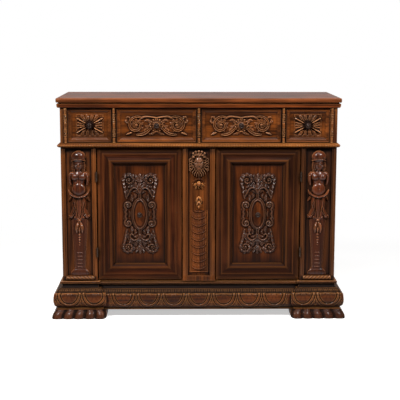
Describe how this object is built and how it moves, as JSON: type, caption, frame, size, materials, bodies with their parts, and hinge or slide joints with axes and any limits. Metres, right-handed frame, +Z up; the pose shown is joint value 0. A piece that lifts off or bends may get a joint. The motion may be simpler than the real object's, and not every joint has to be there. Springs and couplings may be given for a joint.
{
  "type": "carved credenza",
  "caption": "Carved walnut cupboard with doors below a tier of drawers, herm figures on the corner pilasters, moulded base and lobed feet.",
  "frame": {"origin": "on the floor, at the centre of the footprint", "axes": "+X to the right seen from the front, +Y to the back, the front faces -Y, +Z up"},
  "size_m": [1.528, 0.604, 1.145],
  "materials": {
    "walnut": "waxed walnut, satin, worn on edges",
    "walnut_dark": "dark polished walnut",
    "walnut_light": "waxed walnut, lighter and warmer",
    "walnut_carved": "carved walnut with dark wax in the hollows and glossy high points",
    "drawer_wood": "plain unpolished secondary wood",
    "knob_wood": "turned and blackened wood, glossy",
    "iron": "blackened wrought iron"
  },
  "bodies": {
    "carcass": {"back_panel": "drawer_wood", "base_rail_back": "drawer_wood", "base_rail_front": "walnut", "bottom_board": "drawer_wood", "centre_mask": "walnut_carved", "centre_pilaster": "walnut_light", "cornice_moulding": "walnut", "drawer_divider_centre": "walnut", "drawer_divider_left": "walnut", "drawer_divider_right": "walnut", "dust_board": "drawer_wood", "left_caryatid": "walnut_carved", "left_door_lower_hinge_case_leaf": "iron", "left_door_upper_hinge_case_leaf": "iron", "left_front_foot": "walnut", "left_pilaster": "walnut_light", "left_plinth": "walnut", "left_rear_foot": "walnut_dark", "left_side_frame": "walnut", "left_side_panel": "walnut", "right_caryatid": "walnut_carved", "right_door_lower_hinge_case_leaf": "iron", "right_door_upper_hinge_case_leaf": "iron", "right_front_foot": "walnut", "right_pilaster": "walnut_light", "right_plinth": "walnut", "right_rear_foot": "walnut_dark", "right_side_frame": "walnut", "right_side_panel": "walnut", "shelf": "drawer_wood", "top_board": "walnut_dark", "waist_moulding": "walnut_light"},
    "left_door": {"left_door_frame": "walnut_dark", "left_door_knob": "knob_wood", "left_door_lock_case": "iron", "left_door_lower_hinge_door_leaf": "iron", "left_door_ornament": "walnut_carved", "left_door_panel": "walnut", "left_door_upper_hinge_door_leaf": "iron"},
    "left_lock_bolt": {"left_door_lock_bolt": "iron"},
    "left_short_drawer": {"left_short_drawer_box": "drawer_wood", "left_short_drawer_front": "walnut_light", "left_short_drawer_knob": "knob_wood"},
    "left_long_drawer": {"left_long_drawer_box": "drawer_wood", "left_long_drawer_front": "walnut_light", "left_long_drawer_knob": "knob_wood"},
    "right_door": {"right_door_frame": "walnut_dark", "right_door_knob": "knob_wood", "right_door_lock_case": "iron", "right_door_lower_hinge_door_leaf": "iron", "right_door_ornament": "walnut_carved", "right_door_panel": "walnut", "right_door_upper_hinge_door_leaf": "iron"},
    "right_lock_bolt": {"right_door_lock_bolt": "iron"},
    "right_short_drawer": {"right_short_drawer_box": "drawer_wood", "right_short_drawer_front": "walnut_light", "right_short_drawer_knob": "knob_wood"},
    "right_long_drawer": {"right_long_drawer_box": "drawer_wood", "right_long_drawer_front": "walnut_light", "right_long_drawer_knob": "knob_wood"}
  },
  "joints": [
    {"name": "left_door_hinge", "type": "hinge", "parent": "carcass", "child": "left_door", "pos_m": [-0.5264, -0.2511, 0.5431], "axis": [0, 0, -1], "range_deg": [0, 100]},
    {"name": "left_bolt_slide", "type": "slide", "parent": "left_door", "child": "left_lock_bolt", "axis": [1, 0, 0], "range_m": [0, 0.011]},
    {"name": "left_short_drawer_slide", "type": "slide", "parent": "carcass", "child": "left_short_drawer", "axis": [0, -1, 0], "range_m": [0, 0.3]},
    {"name": "left_long_drawer_slide", "type": "slide", "parent": "carcass", "child": "left_long_drawer", "axis": [0, -1, 0], "range_m": [0, 0.3]},
    {"name": "right_door_hinge", "type": "hinge", "parent": "carcass", "child": "right_door", "pos_m": [0.5264, -0.2511, 0.5431], "axis": [0, 0, 1], "range_deg": [0, 100]},
    {"name": "right_bolt_slide", "type": "slide", "parent": "right_door", "child": "right_lock_bolt", "axis": [-1, 0, 0], "range_m": [0, 0.011]},
    {"name": "right_short_drawer_slide", "type": "slide", "parent": "carcass", "child": "right_short_drawer", "axis": [0, -1, 0], "range_m": [0, 0.3]},
    {"name": "right_long_drawer_slide", "type": "slide", "parent": "carcass", "child": "right_long_drawer", "axis": [0, -1, 0], "range_m": [0, 0.3]}
  ]
}
